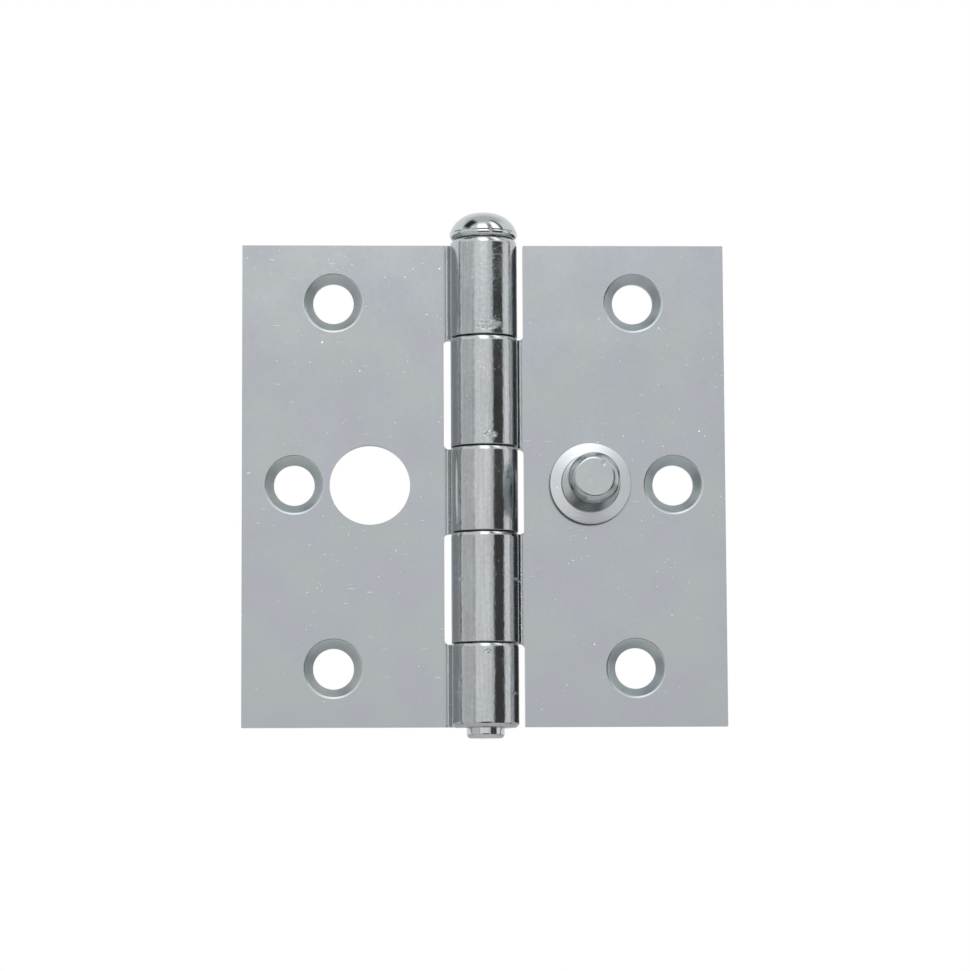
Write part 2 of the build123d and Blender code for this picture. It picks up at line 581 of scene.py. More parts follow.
SATIN_PLATE = PlatedSteel(
    "satin_plate", Grain.PLATE, (0.430, 0.458, 0.472), (0.422, 0.444, 0.478), 0.17,
    contrast=0.08, grain_depth=0.001 * MM, ding_share=0.9, ding_depth=0.02 * MM, ding_scale=1150.0,
    ding_reach=0.24, ding_sparseness=0.46, ding_wear_and_glint=0.95, grit_tone=0.07, scuffs_and_glints=0.4,
)
ROLLED_PLATE = PlatedSteel(
    "rolled_plate", Grain.ROLLED, (0.50, 0.52, 0.53), (0.48, 0.51, 0.53), 0.12,
    contrast=0.22, grain_depth=0.006 * MM, ding_share=0.5, ding_depth=0.02 * MM, ding_scale=1500.0,
    ding_sparseness=0.4, ding_wear_and_glint=0.9, streak=0.35, grit=0.028 * MM, grit_tone=0.35, swell=0.02 * MM,
    knocks=(
        (0.6 * MM, 28.7 * MM, 1.5 * MM), (1.0 * MM, 8.4 * MM, 0.9 * MM), (-4.7 * MM, -17.8 * MM, 0.5 * MM),
        (5.6 * MM, -17.8 * MM, 0.5 * MM), (-5.0 * MM, -38.4 * MM, 0.5 * MM),
        (5.1 * MM, -38.6 * MM, 0.5 * MM), (0.2 * MM, -31.0 * MM, 0.5 * MM),
    ),
)
# The two tab finishes are near-white copies of the plated steel: painted light over the shade that the bent
# tabs catch beside the barrel.
SWAGED_TAB_PAINTED_LIGHT = PlatedSteel(
    "swaged_tab_painted_light", Grain.ROLLED, (0.94, 0.98, 0.99), (0.86, 0.94, 0.99), 0.65,
    contrast=0.1, grain_depth=0.01 * MM, ding_share=0.2, ding_depth=0.02 * MM, ding_wear_and_glint=0.8, streak=0.5,
)
PRESSED_TAB_PAINTED_LIGHT = PlatedSteel(
    "pressed_tab_painted_light", Grain.PLATE, (0.97, 0.98, 0.99), (0.96, 0.98, 0.99), 0.85,
    contrast=0.08, grain_depth=0.002 * MM, ding_share=0.1, ding_depth=0.02 * MM,
)
SHEARED_EDGE = PlatedSteel(
    "sheared_edge", Grain.SHEARED, (0.42, 0.44, 0.45), (0.38, 0.40, 0.42), 0.34,
    contrast=0.1, grain_depth=0.008 * MM,
)
TURNED_SEAT = PlatedSteel(
    "turned_seat", Grain.TURNED, (0.50, 0.54, 0.55), (0.46, 0.51, 0.53), 0.34,
    contrast=0.12, grain_depth=0.016 * MM, ding_share=0.0, streak=0.35, ring_pitch=0.3 * MM,
)
TURNED_STUD = PlatedSteel(
    "turned_stud", Grain.TURNED, (0.46, 0.485, 0.50), (0.43, 0.46, 0.48), 0.16,
    contrast=0.06, grain_depth=0.003 * MM, ding_share=0.35, ding_depth=0.02 * MM, ding_scale=1200.0,
    ding_wear_and_glint=0.6,
)
TURNED_FLANGE = PlatedSteel(
    "turned_flange", Grain.TURNED, (0.60, 0.62, 0.63), (0.57, 0.60, 0.62), 0.2,
    contrast=0.1, grain_depth=0.006 * MM, ding_share=0.35, ding_depth=0.02 * MM, ding_scale=1200.0,
    ding_wear_and_glint=0.6,
)
# The flange's side is painted shade: a near-black finish in place of the shadow where the flange meets the
# leaf.
PAINTED_SHADE_RIM = PlatedSteel(
    "painted_shade_rim", Grain.TURNED, (0.16, 0.17, 0.18), (0.13, 0.14, 0.15), 0.4, grain_depth=0.004 * MM,
)
BRIGHT_PIN = PlatedSteel(
    "bright_pin", Grain.ROLLED, (0.56, 0.58, 0.59), (0.53, 0.56, 0.58), 0.1,
    contrast=0.05, grain_depth=0.001 * MM, ding_share=0.1, ding_depth=0.01 * MM, ding_scale=1500.0,
    swell=0.008 * MM,
)


# Mesh helpers


def push(bm: BMesh, edge: BMEdge, shift: Vector) -> BMEdge:
    """Draws an edge along a straight line, with a face left behind it.

    Args:
        bm: the mesh.
        edge: the edge to draw along.
        shift: how far and which way.

    Returns:
        The edge at the far end.
    """
    made = bmesh.ops.extrude_edge_only(bm, edges=[edge])["geom"]
    ends = [part for part in made if isinstance(part, BMVert)]
    bmesh.ops.translate(bm, verts=ends, vec=shift)
    return bm.edges.get(ends)


def swing(
    bm: BMesh, part: BMEdge | BMVert, centre: Vector, axis: Vector, angle: float, steps: int
) -> BMEdge | BMVert:
    """Carries a vertex or an edge round an axis, drawing the arc behind it.

    Args:
        bm: the mesh.
        part: the vertex or edge to carry.
        centre: a point on the axis.
        axis: the axis.
        angle: how far it turns, right-handed.
        steps: how many straight steps stand for the arc.

    Returns:
        The same part at the arc's far end.
    """
    parts = [part] if isinstance(part, BMVert) else [part, *part.verts]
    last = bmesh.ops.spin(
        bm, geom=parts, cent=centre, axis=axis, angle=angle, steps=steps, use_merge=False,
        use_normal_flip=False, use_duplicate=False,
    )["geom_last"]
    return next(found for found in last if isinstance(found, type(part)))


def line_to(bm: BMesh, start: BMVert, place: Vector) -> BMVert:
    """Draws a straight edge to a new vertex.

    Args:
        bm: the mesh.
        start: the vertex that the edge starts from.
        place: where it ends.

    Returns:
        The new vertex.
    """
    end = bm.verts.new(place)
    bm.edges.new((start, end))
    return end


def turn_solid(bm: BMesh, centre: Vector, axis: Vector) -> None:
    """Turns the drawn outline into a solid about an axis and closes its poles and seam.

    Args:
        bm: the mesh, which holds the outline only.
        centre: a point on the axis.
        axis: the axis.
    """
    bmesh.ops.spin(
        bm, geom=bm.verts[:] + bm.edges[:], cent=centre, axis=axis, angle=2 * math.pi,
        steps=ROUND_STEPS, use_merge=True, use_normal_flip=False, use_duplicate=False,
    )
    bmesh.ops.remove_doubles(bm, verts=bm.verts, dist=SNAP)
    bmesh.ops.recalc_face_normals(bm, faces=bm.faces)


def soften(bm: BMesh, edges: list[BMEdge], size: float, segments: int = 3) -> None:
    """Rounds edges over.

    Args:
        bm: the mesh.
        edges: the edges.
        size: how far the rounding reaches from an edge.
        segments: how many faces make it up.
    """
    bmesh.ops.bevel(
        bm, geom=edges, offset=size, offset_type="OFFSET", segments=segments, profile=0.5,
        affect="EDGES", material=-1, clamp_overlap=True,
    )


def on_circle(place: Vector, centre: Vector, axis: Vector, radius: float) -> bool:
    """Tells whether a place lies on a circle.

    Args:
        place: the place.
        centre: the circle's centre.
        axis: the axis that it lies across.
        radius: its radius.

    Returns:
        Whether it does.
    """
    away = place - centre
    rise = away.dot(axis)
    return abs(rise) < SNAP and abs((away - rise * axis).length - radius) < NEAR


def ring(bm: BMesh, centre: Vector, axis: Vector, radius: float) -> list[BMEdge]:
    """The edges whose two ends both lie on a circle."""
    return [edge for edge in bm.edges if all(on_circle(v.co, centre, axis, radius) for v in edge.verts)]


def from_axis_y(place: Vector, x: float, z: float) -> float:
    """Distance of a place from a line along Y."""
    return math.hypot(place.x - x, place.z - z)


def from_pin(place: Vector) -> float:
    """Distance of a place from the pin's axis."""
    return math.hypot(place.x, place.y)


def finish_piece(bm: BMesh, name: str, materials: list[Material]) -> Object:
    """Makes the mesh an object with smooth faces between its real edges.

    Args:
        bm: the finished mesh, which is freed.
        name: the piece's name.
        materials: its material slots in order.

    Returns:
        The new object, at the origin.
    """
    mesh = bpy.data.meshes.new(name)
    bm.to_mesh(mesh)
    bm.free()
    mesh.polygons.foreach_set("use_smooth", [True] * len(mesh.polygons))
    mesh.set_sharp_from_angle(angle=SHADED_SHARP)
    for material in materials:
        mesh.materials.append(material)
    piece = bpy.data.objects.new(name, mesh)
    bpy.context.scene.collection.objects.link(piece)
    weights = piece.modifiers.new("face_weights", "WEIGHTED_NORMAL")
    weights.keep_sharp = True
    return piece


def carve(blank: BMesh, cutters: BMesh) -> BMesh:
    """Takes the cutters' shapes out of a solid.

    Args:
        blank: the closed solid, which is freed.
        cutters: closed shapes that don't meet each other, which are freed.

    Returns:
        The carved solid.
    """
    pair = []
    for source in (blank, cutters):
        mesh = bpy.data.meshes.new("carving")
        source.to_mesh(mesh)
        source.free()
        shape = bpy.data.objects.new("carving", mesh)
        bpy.context.scene.collection.objects.link(shape)
        pair.append(shape)
    cut = pair[0].modifiers.new("cut", "BOOLEAN")
    cut.operation, cut.solver, cut.object = "DIFFERENCE", "EXACT", pair[1]
    graph = bpy.context.evaluated_depsgraph_get()
    result = bpy.data.meshes.new_from_object(pair[0].evaluated_get(graph))
    carved = bmesh.new()
    carved.from_mesh(result)
    for shape in pair:
        mesh = shape.data
        bpy.data.objects.remove(shape)
        bpy.data.meshes.remove(mesh)
    bpy.data.meshes.remove(result)
    bmesh.ops.remove_doubles(carved, verts=carved.verts, dist=SNAP)
    return carved


# The pieces


@dataclass
class Leaf:
    """One stamped leaf: a flat plate, swaged tabs and the knuckles rolled on from their ends.

    It is shaped on the -X side and mirrored for the other one. A rim is how far a knuckle's rounded end
    reaches along the pin and how far it goes in.
    """

    node: str
    body: str
    piece: str
    side: int
    first_knuckle: int
    # finish of the tabs: a near-white one, painted light over their shade
    tab: PlatedSteel
    sheet: float = 2.6 * MM
    knuckle_gap: float = 0.2 * MM
    knuckle_shares: tuple[float, ...] = (17.5, 20.1, 15.5, 20.1, 15.0)
    knuckle_rim: float = 0.3 * MM
    upper_rim: tuple[float, float] = (1.0 * MM, 0.35 * MM)
    top_rim: tuple[float, float] = (1.2 * MM, 0.8 * MM)
    bottom_rim: tuple[float, float] = (0.9 * MM, 0.7 * MM)
    swage: float = math.radians(17.5)
    swage_bend: float = 0.8 * MM
    seam_gap: float = 0.3 * MM
    notch_clearance: float = 1.2 * MM
    notch_corner: float = 0.9 * MM
    tab_start: float = 6.95 * MM
    bend_steps: int = 8
    rim_steps: int = 6
    overcut: float = 0.5 * MM
    countersink: float = 10.6 * MM
    countersink_lip: float = 0.28 * MM
    plate_edge: float = 0.1 * MM
    stud_hole: float = 14.8 * MM
    shank_hole: float = 6.1 * MM
    rivet_seat: float = 8.7 * MM

    def __post_init__(self) -> None:
        """Reads the leaf's outer sizes from the frame."""
        low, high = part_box(self.node)
        self.width = max(-low.x, high.x)
        self.half_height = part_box("door_leaf")[1].z
        self.barrel_low, self.barrel_high = low.z, high.z
        self.barrel = min(-low.x, high.x)
        self.bore = self.barrel - self.sheet
        self.back = mount("frame_back")["pos_m"][1]
        self.front = self.back - self.sheet
        self.notch = self.barrel + self.notch_clearance

    def knuckles(self) -> list[tuple[float, float]]:
        """Shares the height out among the knuckles.

        Returns:
            Lowest and highest point of each of this leaf's knuckles, from the top down.
        """
        steel = 2 * self.half_height - self.knuckle_gap * (len(self.knuckle_shares) - 1)
        spans, top = [], self.half_height
        for share in self.knuckle_shares:
            bottom = top - steel * share / sum(self.knuckle_shares)
            spans.append((bottom, top))
            top = bottom - self.knuckle_gap
        return spans[self.first_knuckle::2]

    def rolled(self, level: float) -> float:
        """Where a knuckle's end lies after rolling, which spreads the sheet past the leaf's two edges.

        Args:
            level: the end's place along the pin before rolling.

        Returns:
            Its place after rolling.
        """
        if abs(level - self.half_height) < SNAP:
            return self.barrel_high
        if abs(level + self.half_height) < SNAP:
            return self.barrel_low
        return level

    def screw_holes(self) -> list[tuple[float, float]]:
        """Reads the places of the screw holes from the record.

        Returns:
            X and Z of the three screw holes on the -X side.
        """
        pair, middle = mount("frame_screws"), mount("frame_middle_screw")
        rise = pair["dims"]["spacing_y_mm"] * MM / 2
        return [(pair["pos_m"][0], rise), (middle["pos_m"][0], 0.0), (pair["pos_m"][0], -rise)]

    def screw_radius(self) -> float:
        """Radius of the screw holes."""
        return mount("frame_middle_screw")["dims"]["r_mm"] * MM

    def blank(self) -> BMesh:
        """Draws the sheet's section from the outer edge to the seam and raises it to full height.

        Returns:
            The closed solid.
        """
        bm = bmesh.new()
        ends = [bm.verts.new((-self.width, y, self.barrel_low)) for y in (self.front, self.back)]
        edge = bm.edges.new(ends)
        middle = (self.front + self.back) / 2
        roll = self.bore + self.sheet / 2
        bend = self.swage_bend + self.sheet / 2
        corner = (roll - middle * math.cos(self.swage)) / math.sin(self.swage)
        bend_start = -corner - bend * math.tan(self.swage / 2)
        edge = push(bm, edge, Vector((bend_start + self.width, 0, 0)))
        bend_centre = Vector((bend_start, middle + bend, self.barrel_low))
        edge = swing(bm, edge, bend_centre, Z_AXIS, self.swage, self.bend_steps)
        centre = (edge.verts[0].co + edge.verts[1].co) / 2
        tangent = Vector((-math.sin(self.swage), math.cos(self.swage), 0)) * roll
        edge = push(bm, edge, tangent - Vector((centre.x, centre.y, 0)))
        opening = math.acos((self.bore - self.seam_gap) / self.barrel)
        swing(bm, edge, Vector((0, 0, 0)), Z_AXIS, opening - 2 * math.pi, ROUND_STEPS)
        raised = bmesh.ops.extrude_face_region(bm, geom=bm.faces[:])["geom"]
        tops = [part for part in raised if isinstance(part, BMVert)]
        bmesh.ops.translate(bm, verts=tops, vec=Vector((0, 0, self.barrel_high - self.barrel_low)))
        bmesh.ops.remove_doubles(bm, verts=bm.verts, dist=SNAP)
        bmesh.ops.recalc_face_normals(bm, faces=bm.faces)
        return bm

    def cut_notch(self, bm: BMesh, low: float, high: float) -> None:
        """Adds the cutter of one notch, with its two inner corners rounded.

        Args:
            bm: the cutters' mesh.
            low: the notch's lower side.
            high: the notch's upper side.
        """
        reach = 3 * self.barrel
        start = bmesh.ops.create_cube(bm, size=1)["verts"]
        bmesh.ops.scale(bm, verts=start, vec=(reach, reach, high - low))
        bmesh.ops.translate(bm, verts=start, vec=(reach / 2 - self.notch, 0, (low + high) / 2))
        inner = [
            edge for edge in bm.edges
            if all(vert in start and abs(vert.co.x + self.notch) < SNAP for vert in edge.verts)
            and abs((edge.verts[0].co - edge.verts[1].co).normalized().y) > FACING_MOSTLY
            and abs(abs(edge.verts[0].co.z) - self.half_height) > self.notch_clearance
        ]
        soften(bm, inner, self.notch_corner, segments=self.bend_steps)

    def cut_edge(self, bm: BMesh, low: float, high: float) -> None:
        """Adds the cutter that keeps the plate and its tab behind a knuckle's spread end.

        Args:
            bm: the cutters' mesh.
            low: the cutter's lower side.
            high: the cutter's upper side.
        """
        reach = 1.5 * self.width
        start = bmesh.ops.create_cube(bm, size=1)["verts"]
        bmesh.ops.scale(bm, verts=start, vec=(reach, reach, high - low))
        inner = self.bore - self.seam_gap / 2
        bmesh.ops.translate(bm, verts=start, vec=(-reach / 2, inner + reach / 2, (low + high) / 2))
        turn = Matrix.Rotation(self.swage, 3, "Z")
        bmesh.ops.rotate(bm, verts=start, cent=(0, 0, 0), matrix=turn)

    def cut_round(self, bm: BMesh, x: float, z: float, outline: list) -> None:
        """Adds a turned cutter whose axis runs along Y.

        Args:
            bm: the cutters' mesh.
            x: place of the axis.
            z: place of the axis.
            outline: radius and Y of each corner, from front to back.
        """
        tool = bmesh.new()
        tip = tool.verts.new((x, outline[0][1], z))
        for radius, y in outline:
            tip = line_to(tool, tip, Vector((x + radius, y, z)))
        line_to(tool, tip, Vector((x, outline[-1][1], z)))
        turn_solid(tool, Vector((x, 0, z)), Y_AXIS)
        mesh = bpy.data.meshes.new("cutter")
        tool.to_mesh(mesh)
        tool.free()
        bm.from_mesh(mesh)
        bpy.data.meshes.remove(mesh)

    def cutters(self) -> BMesh:
        """Draws everything that the press and the drill take out of the blank.

        Returns:
            The closed cutters in one mesh.
        """
        bm = bmesh.new()
        levels = [self.half_height + self.sheet]
        for low, high in self.knuckles():
            levels += [high, low]
        levels.append(-self.half_height - self.sheet)
        for high, low in zip(levels[::2], levels[1::2]):
            if min(high, self.half_height) - max(low, -self.half_height) > SNAP:
                self.cut_notch(bm, low, high)
        if self.barrel_high - self.half_height > SNAP:
            self.cut_edge(bm, self.half_height, self.barrel_high + self.overcut)
            self.cut_edge(bm, self.barrel_low - self.overcut, -self.half_height)
        start, end = self.front - self.overcut, self.back + self.overcut
        seat, hole = self.countersink / 2, self.screw_radius()
        for x, z in self.screw_holes():
            outline = [(seat + self.overcut, start), (hole, self.front + seat - hole), (hole, end)]
            self.cut_round(bm, x, z, outline)
        x, outline = self.stud_cut(start, end)
        self.cut_round(bm, x, 0.0, outline)
        return bm

    def stud_cut(self, start: float, end: float) -> tuple[float, list[tuple[float, float]]]:
        """Shapes the cutter of the hole that has to do with the locking stud.

        Args:
            start: Y in front of the leaf.
            end: Y behind it.

        Returns:
            X of its axis, and radius and Y of each corner from front to back.
        """
        if self.node == "frame_leaf":
            openings = frame["record"]["physics"]["openings"]
            box = next(opening for opening in openings if opening["name"] == "stud_hole")["box_m"]
            radius = self.stud_hole / 2
            return (box[0][0] + box[1][0]) / 2, [(radius, start), (radius, end)]
        low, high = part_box("security_stud")
        shank, seat = self.shank_hole / 2, self.rivet_seat / 2
        outline = [(shank, start), (shank, self.back - seat + shank), (seat + self.overcut, end)]
        return -(low.x + high.x) / 2, outline

    def round_end(self, bm: BMesh, level: float, reach: float, depth: float) -> None:
        """Rounds the outer corner of one end of a knuckle with a quarter of an ellipse.

        Args:
            bm: the leaf's mesh.
            level: the end's place along the pin.
            reach: length of the rounding along the pin, below zero for a knuckle's lower end.
            depth: how far the rounding goes in at the end.
        """
        for step in range(self.rim_steps):
            cut = level - reach * (1 - math.sin(math.pi / 2 * step / self.rim_steps))
            inside = {vert for vert in bm.verts if from_pin(vert.co) < self.barrel + NEAR}
            rolled = [face for face in bm.faces if inside.issuperset(face.verts)]
            parts = list({part for face in rolled for part in (face, *face.edges, *face.verts)})
            bmesh.ops.bisect_plane(bm, geom=parts, plane_co=(0, 0, cut), plane_no=Z_AXIS, dist=SNAP)
        for vert in bm.verts:
            place = vert.co
            rise = 1 - (level - place.z) / reach
            beside_tab = place.x * math.cos(self.swage) + place.y * math.sin(self.swage) < SNAP
            if beside_tab and place.y > 0 and abs(place.z) < self.half_height + SNAP:
                continue
            if 0 < rise < 1 + NEAR / abs(reach) and abs(from_pin(place) - self.barrel) < NEAR:
                place.xy *= 1 - depth * (1 - math.sqrt(max(0.0, 1 - rise**2))) / self.barrel

    def soften_rims(self, bm: BMesh) -> None:
        """Rounds the knuckles' ends, the lips of the holes and last every edge still sharp.

        Args:
            bm: the carved leaf.
        """
        for low, high in self.knuckles():
            top, bottom = self.rolled(high), self.rolled(low)
            self.round_end(bm, top, *(self.top_rim if top > high else self.upper_rim))
            if bottom < low:
                reach, depth = self.bottom_rim
                self.round_end(bm, bottom, -reach, depth)
                continue
            end = ring(bm, Vector((0, 0, low)), Z_AXIS, self.barrel)
            soften(bm, end, self.knuckle_rim, segments=4)
        for x, z in self.screw_holes():
            lip = ring(bm, Vector((x, self.front, z)), Y_AXIS, self.countersink / 2)
            soften(bm, lip, self.countersink_lip)
        sharp = [
            edge for edge in bm.edges
            if len(edge.link_faces) == 2 and edge.calc_face_angle(0) > REAL_EDGE
        ]
        soften(bm, sharp, self.plate_edge, segments=2)

    def dress(self, bm: BMesh) -> None:
        """Gives each face the finish of how it was made; the tabs take a near-white finish that is painted
        light.

        Args:
            bm: the leaf's mesh.
        """
        seats = self.screw_holes()
        seat_reach = self.countersink / 2 + self.countersink_lip
        for face in bm.faces:
            place, normal = face.calc_center_median(), face.normal
            near = [index for index, seat in enumerate(seats) if from_axis_y(place, *seat) < seat_reach]
            if near and abs(normal.y) < FACING_FULLY:
                face.material_index = LeafFace.SEAT + near[0]
            elif abs(normal.z) > FACING_MOSTLY:
                face.material_index = LeafFace.SHEARED
            elif from_pin(place) < self.barrel + SNAP:
                face.material_index = LeafFace.ROLLED
            elif abs(normal.y) < FACING_HALF:
                face.material_index = LeafFace.SHEARED
            # the tabs take the near-white finish, painted light
            elif place.x > -self.tab_start:
                face.material_index = LeafFace.TAB
            else:
                face.material_index = LeafFace.PLATE

    def build(self, effects: Effects) -> Object:
        """Makes the leaf, puts it in its place and ties it to its body.

        Args:
            effects: the shared node groups.

        Returns:
            The finished piece.
        """
        bm = carve(self.blank(), self.cutters())
        self.soften_rims(bm)
        self.dress(bm)
        if self.side > 0:
            bmesh.ops.scale(bm, verts=bm.verts, vec=(-1, 1, 1))
        bmesh.ops.recalc_face_normals(bm, faces=bm.faces)
        seats = [TURNED_SEAT.material(effects, (-self.side * x, 0.0, z)) for x, z in self.screw_holes()]
        sheet = (SATIN_PLATE, ROLLED_PLATE, SHEARED_EDGE, self.tab)
        piece = finish_piece(bm, self.piece, [finish.material(effects) for finish in sheet] + seats)
        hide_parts(self.node)
        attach(piece, self.body)
        return piece


@dataclass
class LockingStud:
    """The turned stud: rivet head behind the leaf, flange on its face and a tapered boss.

    A dent is its X and Z from the stud's axis, its reach and its depth.
    """

    node: str = "security_stud"
    body: str = "door_leaf"
    sheet: float = 2.6 * MM
    shank: float = 6.0 * MM
    rivet_head: float = 8.6 * MM
    flange: float = 15.0 * MM
    flange_rim: float = 1.78 * MM
    flange_top: float = 2.0 * MM
    base: float = 10.7 * MM
    shoulder: float = 9.4 * MM
    shoulder_height: float = 11.5 * MM
    top: float = 7.3 * MM
    height: float = 13.1 * MM
    rim: float = 0.3 * MM
    fillet: float = 0.12 * MM
    crown_rings: int = 11
    dents: tuple[tuple[float, float, float, float], ...] = (
        (1.7 * MM, 2.5 * MM, 0.6 * MM, 0.09 * MM),
        (-0.9 * MM, -0.4 * MM, 0.5 * MM, 0.05 * MM),
        (-2.0 * MM, 1.4 * MM, 0.5 * MM, 0.04 * MM),
        (0.6 * MM, -1.9 * MM, 0.6 * MM, 0.04 * MM),
    )

    def outline(self) -> list[tuple[float, float]]:
        """Lists the corners of the stud's half section.

        Returns:
            Radius and height above the leaf's face of each, from the rivet head to the crown.
        """
        return [
            (self.rivet_head / 2, -self.sheet),
            (self.shank / 2, (self.rivet_head - self.shank) / 2 - self.sheet),
            (self.shank / 2, 0.0),
            (self.flange / 2, 0.0),
            (self.flange / 2, self.flange_rim),
            (self.base / 2, self.flange_top),
            (self.shoulder / 2, self.shoulder_height),
            (self.top / 2, self.height),
        ]

    def build(self, effects: Effects) -> Object:
        """Turns the stud and dents its crown.

        Args:
            effects: the shared node groups.

        Returns:
            The finished piece.
        """
        low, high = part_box(self.node)
        face = high.y - self.sheet
        x = (low.x + high.x) / 2
        bm = bmesh.new()
        tip = bm.verts.new((x, high.y, 0))
        for radius, height in self.outline():
            tip = line_to(bm, tip, Vector((x + radius, face - height, 0)))
        for step in range(1, self.crown_rings):
            radius = self.top / 2 * (1 - step / self.crown_rings)
            tip = line_to(bm, tip, Vector((x + radius, low.y, 0)))
        line_to(bm, tip, Vector((x, low.y, 0)))
        turn_solid(bm, Vector((x, 0, 0)), Y_AXIS)
        for diameter, height, size in (
            (self.flange, self.flange_rim, self.fillet),
            (self.flange, 0.0, self.fillet),
            (self.base, self.flange_top, self.fillet),
            (self.shoulder, self.shoulder_height, self.rim),
            (self.top, self.height, self.rim),
        ):
            corner = ring(bm, Vector((x, face - height, 0)), Y_AXIS, diameter / 2)
            soften(bm, corner, size)
        for dx, dz, reach, depth in self.dents:
            for vert in bm.verts:
                away = from_axis_y(vert.co, x + dx, dz) / reach
                if away < 1 and vert.co.y < low.y + self.rim:
                    vert.co.y += depth * (1 - away**2) ** 2
        bmesh.ops.recalc_face_normals(bm, faces=bm.faces)
        for side in bm.faces:
            radius = from_axis_y(side.calc_center_median(), x, 0)
            # the flange's side takes the painted shade
            if radius > self.flange / 2 - self.fillet and abs(side.normal.y) < FACING_HALF:
                side.material_index = StudFace.RIM
            elif radius > self.base / 2 + self.fillet:
                side.material_index = StudFace.FLANGE
        steels = (TURNED_STUD, TURNED_FLANGE, PAINTED_SHADE_RIM)
        materials = [steel.material(effects, (x, 0.0, 0.0)) for steel in steels]
        piece = finish_piece(bm, "turned_stud", materials)
        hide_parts(self.node)
        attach(piece, self.body)
        return piece


@dataclass
class LoosePin:
    """The loose pin: a plain shank with a domed head that rests on the top knuckle.

    The groove under the dome is half its height and its depth.
    """

    node: str = "hinge_pin"
    body: str = "pin"
    diameter: float = 7.0 * MM
    seat: float = 1.25 * MM
    dome: float = 3.75 * MM
    dome_curve: float = 5.4 * MM
    head_rim: float = 0.8 * MM
    groove: tuple[float, float] = (0.2 * MM, 0.06 * MM)
    tip_edge: float = 0.9 * MM
    arc_steps: int = 14

    def build(self, effects: Effects) -> Object:
        """Turns the pin.

        Args:
            effects: the shared node groups.

        Returns:
            The finished piece.
        """
        low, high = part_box(self.node)
        head, shank = high.x, self.diameter / 2
        shoulder = high.z - self.dome
        under = shoulder - self.seat
        start = math.asin(1 - self.dome / self.dome_curve)
        centre = Vector((head - self.dome_curve * math.cos(start), 0, high.z - self.dome_curve))
        bm = bmesh.new()
        tip = bm.verts.new((0, 0, low.z))
        half, depth = self.groove
        for radius, z in (
            (shank, low.z), (shank, under), (head, under), (head, shoulder - 2 * half),
            (head - depth, shoulder - half), (head, shoulder),
        ):
            tip = line_to(bm, tip, Vector((radius, 0, z)))
        tip = swing(bm, tip, centre, -Y_AXIS, math.pi / 2 - start, self.arc_steps)
        line_to(bm, tip, Vector((0, 0, high.z)))
        turn_solid(bm, Vector((0, 0, 0)), Z_AXIS)
        for radius, z, size in ((head, under, self.head_rim), (shank, low.z, self.tip_edge)):
            soften(bm, ring(bm, Vector((0, 0, z)), Z_AXIS, radius), size, segments=5)
        bmesh.ops.recalc_face_normals(bm, faces=bm.faces)
        piece = finish_piece(bm, "domed_pin", [BRIGHT_PIN.material(effects)])
        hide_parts(self.node)
        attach(piece, self.body)
        return piece


# The studio


@dataclass(frozen=True)
class Card:
    """A flat card or glowing panel that only shows in the metal, as those round a product do.

    Its place and its spread are degrees as the hinge sees them. Light is 1 for white, and goes over to
    far_light towards its right side. Each fade is the share of the spread that an edge melts away over.
    """

    name: str
    azimuth: float
    elevation: float
    across: float
    up: float
    light: float
    far_light: float
    side_fade: float = 0.02
    low_fade: float = 0.02
    high_fade: float = 0.02
    distance: float = 0.6


@dataclass(frozen=True)
class Softbox:
    """An area lamp aimed at the hinge, with its place and spread in degrees."""

    name: str
    azimuth: float
    elevation: float
    across: float
    up: float
    brightness: float
    distance: float = 0.7


def extent(degrees: float, distance: float) -> float:
    """Length that fills an angle at a distance."""
    return 2 * distance * math.tan(math.radians(degrees / 2))


def direction(azimuth: float, elevation: float) -> Vector:
    """The way from the hinge towards a place round it: azimuth 0 is -Y, and 90 is +X. Degrees."""
    a, e = math.radians(azimuth), math.radians(elevation)
    return Vector((math.sin(a) * math.cos(e), -math.cos(a) * math.cos(e), math.sin(e)))


